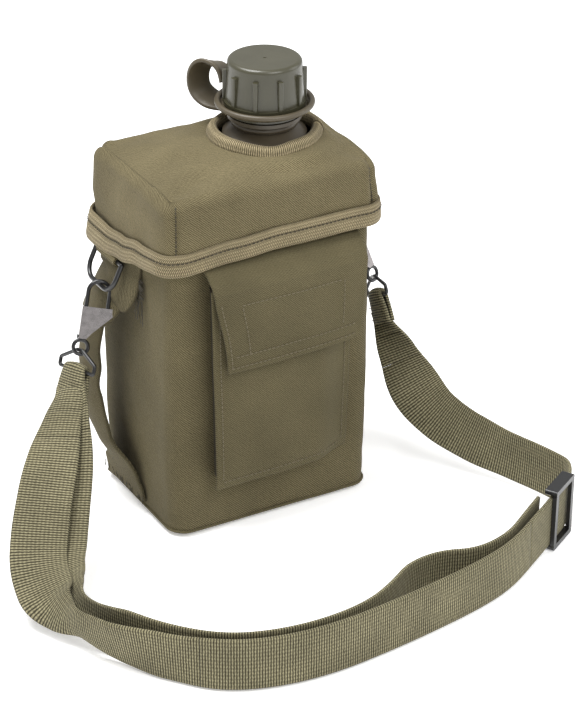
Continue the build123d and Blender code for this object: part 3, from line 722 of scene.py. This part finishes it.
stages = [(0, k / 26) for k in range(26)] + [(1, k / 10) for k in range(10)] + [
    (2, k / 34) for k in range(35)]
edge = outline(LID_X, LID_Y, LID_CORNER, AROUND)
lid_step = girth(LID_X, LID_Y, LID_CORNER) / AROUND
front_start = next(i for i, (p, n) in enumerate(edge) if n[1] < -0.99)
EDGE_LENGTH = 10.2  # of the cloth over the rounded edge
points, maps = [], []
for stage, t in stages:
    for i, (p, n) in enumerate(edge):
        q = lid_point(p, n, stage, t)
        points.append(q * MM)
        if stage == 2:  # the top's map is flat and goes on from that of the front wall
            u, v = (lid_step * front_start + q.x - edge[front_start][0][0],
                    SHOULDER_Z + EDGE_LENGTH + q.y + LID_Y - 6)
        else:
            u, v = lid_step * i, (LID_FOOT + (SHOULDER_Z - LID_FOOT) * t if stage == 0
                                  else SHOULDER_Z + EDGE_LENGTH * t)
        maps.append((u * MM, v * MM))
lid = add_mesh("cover_lid_hood", points, rings_to_faces(len(stages), AROUND), LID_CLOTH, "root",
               maps)
thicken(lid, 1.6)
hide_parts("cover_lid")

darts = []
for dart_x in (-DART_X, DART_X):
    for front in (-1, 1):
        p, n = min((e for e in edge if e[0][1] * front > 0), key=lambda e: abs(e[0][0] - dart_x))
        seam = [lid_point(p, n, 0, t / 20) + Vector((n[0], n[1], 0)) * 0.15 for t in range(6, 20)]
        seam += [lid_point(p, n, 1, t / 8) for t in range(7)]
        darts += stitch_row(seam, Vector((n[0], n[1], 0)), 2.4, 0.8, 0.4)
joined("lid_dart_seams", darts, DARK_THREAD)

# hem: two ribbed bands with a stitched groove between them. Each table goes by degrees round the cover:
# the height of its lower edge, how far it stands out from the lid, and how tall it is.
HEM_LOW = [(-180, 163), (-165, 167), (-148, 170.5), (-140, 171.5), (-120, 174), (-90, 175.5), (-40, 175.5),
           (0, 174.5), (40, 172), (90, 166), (140, 160), (165, 160), (180, 163)]
HEM_OUT = [(-180, 3.2), (-160, 1.2), (-145, 0.5), (-90, 0.4), (0, 0.4), (90, 1.0), (135, 3.0), (160, 4.5),
           (180, 3.2)]
HEM_TALL = [(-180, 14.5), (-145, 13.0), (-90, 12.8), (0, 12.8), (90, 14), (150, 17), (180, 14.5)]


HEM_HEIGHT = 13  # the usual one, for its map


def hem_ring(height, proud):
    """A closed line round the hem at that share of its height."""
    made = []
    for (x, y), (nx, ny) in outline(LID_X + 1.4, LID_Y + 1.4, LID_CORNER + 1, 220):
        turn = math.degrees(math.atan2(y, x))
        out = between(HEM_OUT, turn) * (1 - 0.6 * height) + proud + wobble((x, y, 0), 0.05, 0.5, 2)
        z = between(HEM_LOW, turn) + between(HEM_TALL, turn) * height + wobble((x, y, 7), 0.03, 0.7, 4)
        made.append(Vector((x + nx * out, y + ny * out, z)))
    return made


def hem_band(name, profile):
    """A strip round the hem whose section is a list of (share of height, how far out)."""
    rings = [hem_ring(share, proud) for share, proud in profile]
    points, maps = [], []
    for ring, (share, proud) in zip(rings, profile):
        run = 0.0
        for i, p in enumerate(ring):
            points.append(p * MM)
            if i:
                run += (p - ring[i - 1]).length
            maps.append((share * HEM_HEIGHT * MM, run * MM))
    return add_mesh(name, points, tube_faces(len(rings), len(rings[0])), BINDING, "root", maps)


lower = hem_band("hem_lower_roll", [(0.02, -1.0), (-0.04, 0.0), (0.0, 0.9), (0.1, 1.35), (0.3, 1.35),
                                    (0.5, 1.25), (0.62, 0.95), (0.64, -0.2), (0.3, -1.0)])
hem_band("hem_upper_band", [(0.62, -0.6), (0.63, 0.7), (0.68, 1.1), (0.82, 1.0), (0.95, 0.7),
                            (1.0, 0.2), (0.99, -0.8), (0.8, -0.9)])
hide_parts("lid_binding")


def outward(p):
    """The cover's normal near a point, taken from the nearest wall."""
    dx, dy = abs(p.x) - (BODY_X - 12), abs(p.y) - (BODY_Y - 12)
    n = Vector((math.copysign(max(dx, 0), p.x), math.copysign(max(dy, 0), p.y), 0))
    return n.normalized() if n.length > 0.01 else FORWARD


joined("hem_stitches", stitch_row([p + outward(p) * 0.5 for p in hem_ring(0.635, 0.75)], outward, 2.6),
       DARK_THREAD)

# collar of tape round the neck hole: (radius, height) round its section
COLLAR = [(29.5, 218.5), (32.0, 219.0), (32.7, 220.8), (32.2, 223.4), (30.6, 225.8), (28.8, 226.8),
          (27.2, 226.4), (26.3, 224.8), (26.0, 220.5)]
COLLAR_STEPS, COLLAR_RADIUS, JOIN = 200, 31, math.radians(335)
points, maps = [], []
for r, z in COLLAR:
    for i in range(COLLAR_STEPS):
        phi = TAU * i / COLLAR_STEPS
        c, s = math.cos(phi), math.sin(phi)
        rise = math.exp(-(((phi - JOIN) % TAU) / 0.35) ** 2) * 1.4  # where the tape's ends overlap
        out = r + wobble((c * 30, s * 30, z * 0.3), 0.06, 1.4, 6) + rise * 0.5
        up = z + wobble((c * 30, s * 30, 5), 0.05, 1.8, 8) + rise
        points.append(Vector((NECK.x + out * c, out * s, up)) * MM)
        maps.append(((r + z) * MM, phi * COLLAR_RADIUS * MM))
collar = add_mesh("neck_hole_collar", points, tube_faces(len(COLLAR), COLLAR_STEPS), BINDING,
                  "root", maps)
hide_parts("neck_binding")

# ---- front pocket ---------------------------------------------------------------------
POCKET_FACE, POCKET_LOW, POCKET_HIGH = -58.6, 33.0, 161.0
BODY_FRONT = -47.2  # where the pocket is sewn to the pouch


def pocket_at(u, v):
    """The pocket's face, u from left to right and v upward. It falls back at the right and at the bottom."""
    left = -43.5 - 2.5 * v
    right = 46.5 + 3.0 * v
    z = POCKET_LOW + 1.5 * u + (POCKET_HIGH - POCKET_LOW) * v
    x = left + (right - left) * u
    bow = 1.3 * math.sin(math.pi * u) * math.sin(math.pi * v)
    lean = 8.6 * smoothstep((u - 0.72) / 0.28) + 1.2 * smoothstep((0.08 - v) / 0.08)
    y = POCKET_FACE - bow + lean + wobble((x, 0, z), 0.03, 0.8, 12)
    return Vector((x, y, z))


pocket = cloth_patch("pocket_front", pocket_at, 80, 100, 1.1, POCKET_CLOTH)
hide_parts("pocket_panel")


DOWN_SHARE = 0.58  # of the gusset's length


def gusset_at(u, v):
    """The side wall of the pocket: down its left edge, then along the bottom."""
    if u < DOWN_SHARE:
        face = pocket_at(0.03, 0.98 - 0.95 * u / DOWN_SHARE)
    else:
        face = pocket_at(0.03 + 0.95 * (u - DOWN_SHARE) / (1 - DOWN_SHARE), 0.03)
    bulge = 1.4 * math.sin(math.pi * v)
    base = Vector((face.x + 1.5 - bulge, BODY_FRONT, face.z + 1.2))
    return base.lerp(face + Vector((0, 1.3, 0)), v)


# its darker twill is painted shade, not the cloth's own colour
gusset = cloth_patch("pocket_side_wall", gusset_at, 120, 10, 0.8, GUSSET_PAINTED_SHADE_CLOTH)
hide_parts("pocket_gusset")


def stitched(lines, proud):
    """Stitches along lines on a cloth that faces forward, that far in front of it."""
    return [bit for line in lines for bit in stitch_row([p + FORWARD * proud for p in line], FORWARD)]


joined("pocket_stitches", stitched([[pocket_at(0.045, v / 40) for v in range(2, 40)],
                                    [pocket_at(u / 40, 0.035) for u in range(2, 39)],
                                    [pocket_at(0.955, v / 40) for v in range(2, 40)]], 0.1), THREAD)

# flap: one piece of cloth from the seam under the hem to its lower edge, as (share of its fall, y, z)
FLAP_LINE = [(0.0, -48.0, 173.5), (0.06, -54.0, 170.5), (0.13, -60.2, 165.5), (0.2, -62.6, 160.5),
             (0.6, -63.4, 137.0), (1.0, -63.0, 111.5)]


FLAP_BEND = 0.2  # from there on it hangs straight
FLAP_BEND_Z, FLAP_LOW_Z = 160.5, 111.5


def flap_at(u, v):
    """The flap's face, u from left to right and v from its lower edge up to the seam."""
    down = 1 - v
    y = between([(a, b) for a, b, c in FLAP_LINE], down)
    if down < FLAP_BEND:
        z = between([(a, c) for a, b, c in FLAP_LINE], down)
    else:
        z = FLAP_BEND_Z - (FLAP_BEND_Z - FLAP_LOW_Z) * (down - FLAP_BEND) / (1 - FLAP_BEND)
    left = -47.0 + 8.6 * smoothstep(down)
    right = 53.0 - 4.5 * down
    x = left + (right - left) * u
    z += 2.6 * (u - 0.5) * down
    y += -1.2 * math.sin(math.pi * u) * down + 1.6 * smoothstep((u - 0.85) / 0.15) * (1 - 0.3 * down)
    return Vector((x, y + wobble((x, 0, z), 0.035, 1.0, 20), z))


flap = cloth_patch("pocket_flap_cloth", flap_at, 84, 76, 1.3, POCKET_CLOTH, None)
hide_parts("pocket_flap", "flap_root")
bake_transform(flap)
flap_lines = [[flap_at(k / 40, 0.05) for k in range(1, 40)],
              [flap_at(0.03, k / 40) for k in range(2, 30)],
              [flap_at(0.16, 0.16 + 0.5 * k / 20) for k in range(21)],
              [flap_at(0.16 + 0.68 * k / 30, 0.66) for k in range(31)],
              [flap_at(0.84, 0.66 - 0.5 * k / 20) for k in range(21)],
              [flap_at(0.06 + 0.9 * k / 40, 0.16) for k in range(41)]]
joined("flap_stitches", stitched(flap_lines, 0.15), THREAD, body="flap")

# ---- belt bands on both sides ------------------------------------------------------------
BAND_ROUTE = [(-67.6, 171), (-68.2, 158), (-74.5, 140), (-84.0, 118), (-85.0, 92), (-84.5, 66), (-79, 40),
              (-70, 24), (-67.2, 12), (-67.0, 6)]
# by height: how wide the band is, where its middle is in y, and how deep it is folded along its length
BAND_WIDTH = [(6, 50), (16, 46), (40, 29), (70, 24), (118, 25), (136, 36), (148, 48), (171, 50)]
BAND_MIDDLE = [(6, 13.0), (18, 15.0), (45, 23), (80, 25), (118, 23), (136, 17.5), (148, 12.5), (171, 13)]
BAND_FOLD = [(6, 0.3), (30, 2.2), (70, 3.4), (120, 3.4), (140, 6.5), (156, 3.6), (165, 1.2)]


def side_band(side, flip):
    """The band down one side; flip is 1 on the left and -1 on the right."""
    line = [Vector((p.x, between(BAND_MIDDLE, p.z), p.z))
            for p in spline([(x * flip, 25.0, z) for x, z in BAND_ROUTE], 2.0)]

    def cup(i, a):
        z = line[i].z
        return (flip * between(BAND_FOLD, z) * (a * a - 0.3)
                + wobble((a * 14, z * 0.6, 0), 0.12, 1.4, 3 * flip))

    o = ribbon(f"belt_band_{side}", line, lambda i: Vector((0, 1, 0)), lambda i: between(BAND_WIDTH, line[i].z),
               1.7, BAND, "root", cup)
    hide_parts(f"side_band_{side}")


for side, flip in (("left", 1), ("right", -1)):
    side_band(side, flip)
    x = -66.9 * flip
    tack = []  # stitches near the ring, then the frayed lower edge
    random.seed(7 if flip > 0 else 8)
    for k in range(30):
        z = 148 + random.uniform(-6, 6)
        y = -11 + random.uniform(-4, 5)
        tack.append(bead(Vector((x - 0.3 * flip, y - 2, z)), Vector((x - 0.3 * flip, y + 2.5, z + 0.6)),
                         Vector((-flip, 0, 0)), 0.4))
    for k in range(12):
        y = -12 + 50 * k / 11 + random.uniform(-1, 1)
        path = [Vector((x - 0.9 * flip - random.uniform(0, 0.8) * flip, y + random.uniform(-1, 1),
                        11 - 1.6 * j)) for j in range(4)]
        tack.append(tube(path, 0.3, 5))
    joined(f"bar_tack_{side}", tack, DARK_THREAD)

    tails = []  # frayed ends that hang from the tack
    for k in range(7):
        y0, z0 = -11 + random.uniform(-4, 4), 144 + random.uniform(-3, 3)
        path, p = [], Vector((x - 0.6 * flip, y0, z0))
        drift = random.uniform(-0.9, 0.9)
        for j in range(8):
            path.append(p.copy())
            p += Vector((-0.12 * flip * (1 if j < 4 else -1), drift + random.uniform(-0.8, 0.8), -2.2))
        tails.append(tube(path, 0.22, 5))
    joined(f"loose_threads_{side}", tails, DARK_THREAD)

# ---- tether ---------------------------------------------------------------------------------
TETHER_ANGLE = math.radians(122)
out_way = Vector((math.cos(TETHER_ANGLE), math.sin(TETHER_ANGLE), 0))
tether_line = spline([NECK + out_way * r + UP * z for r, z in
                      ((20.6, 233.4), (29, 233.6), (37, 235), (43.2, 240), (43.6, 250), (39, 257),
                       (31, 257.6), (26.4, 254), (24.6, 249))], 1.2)
flat_way = out_way.cross(UP)
tether_way = tangents(tether_line)
TETHER_TWIST = math.radians(34)


def tether_side(i):
    twist = TETHER_TWIST * math.sin(math.pi * i / (len(tether_line) - 1))
    return flat_way * math.cos(twist) - tether_way[i].cross(flat_way) * math.sin(twist)


tether = ribbon("cap_tether_strip", tether_line, tether_side, lambda i: 14.0, 1.9, TETHER,
                None)
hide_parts("cap_tether")
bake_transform(tether)

# ---- setting ---------------------------------------------------------------------------------
floor_shader = Shader("paper", roughness=0.9)
floor_shader.paint(floor_shader.blotch(linear(252, 252, 252), 3.0, 0.995, 1.0))
floor_shader.body.inputs["Emission Color"].default_value = (1, 1, 1, 1)
floor_shader.body.inputs["Emission Strength"].default_value = 0.3
FLOOR_HALF, FLOOR_Z = 6, -0.0002
floor_mesh = bpy.data.meshes.new("floor")
floor_mesh.from_pydata([(x * FLOOR_HALF, y * FLOOR_HALF, FLOOR_Z)
                        for x, y in ((-1, -1), (1, -1), (1, 1), (-1, 1))], [], [(0, 1, 2, 3)])
floor_mesh.materials.append(floor_shader.material)
floor = bpy.data.objects.new("floor", floor_mesh)
scene.collection.objects.link(floor)

scene.view_settings.view_transform = "Standard"
world = bpy.data.worlds.new("studio")
world.use_nodes = True
world.node_tree.nodes["Background"].inputs["Color"].default_value = (1, 1, 1, 1)
world.node_tree.nodes["Background"].inputs["Strength"].default_value = 0.6
scene.world = world


def area_light(name, place, aim, size, power):
    data = bpy.data.lights.new(name, "AREA")
    data.shape, data.size, data.size_y, data.energy = "RECTANGLE", size[0], size[1], power
    o = bpy.data.objects.new(name, data)
    o.location = place
    o.rotation_euler = (Vector(aim) - Vector(place)).to_track_quat("-Z", "Y").to_euler()
    scene.collection.objects.link(o)


area_light("key", (0.15, -1.1, 1.3), (0, 0, 0.1), (0.8, 0.8), 11)
area_light("right_fill", (1.4, -0.4, 0.8), (0, 0, 0.1), (0.8, 1.0), 5)
area_light("top", (-0.45, 0.25, 1.6), (0, 0, 0.15), (1.0, 0.8), 30)

bpy.context.view_layer.update()
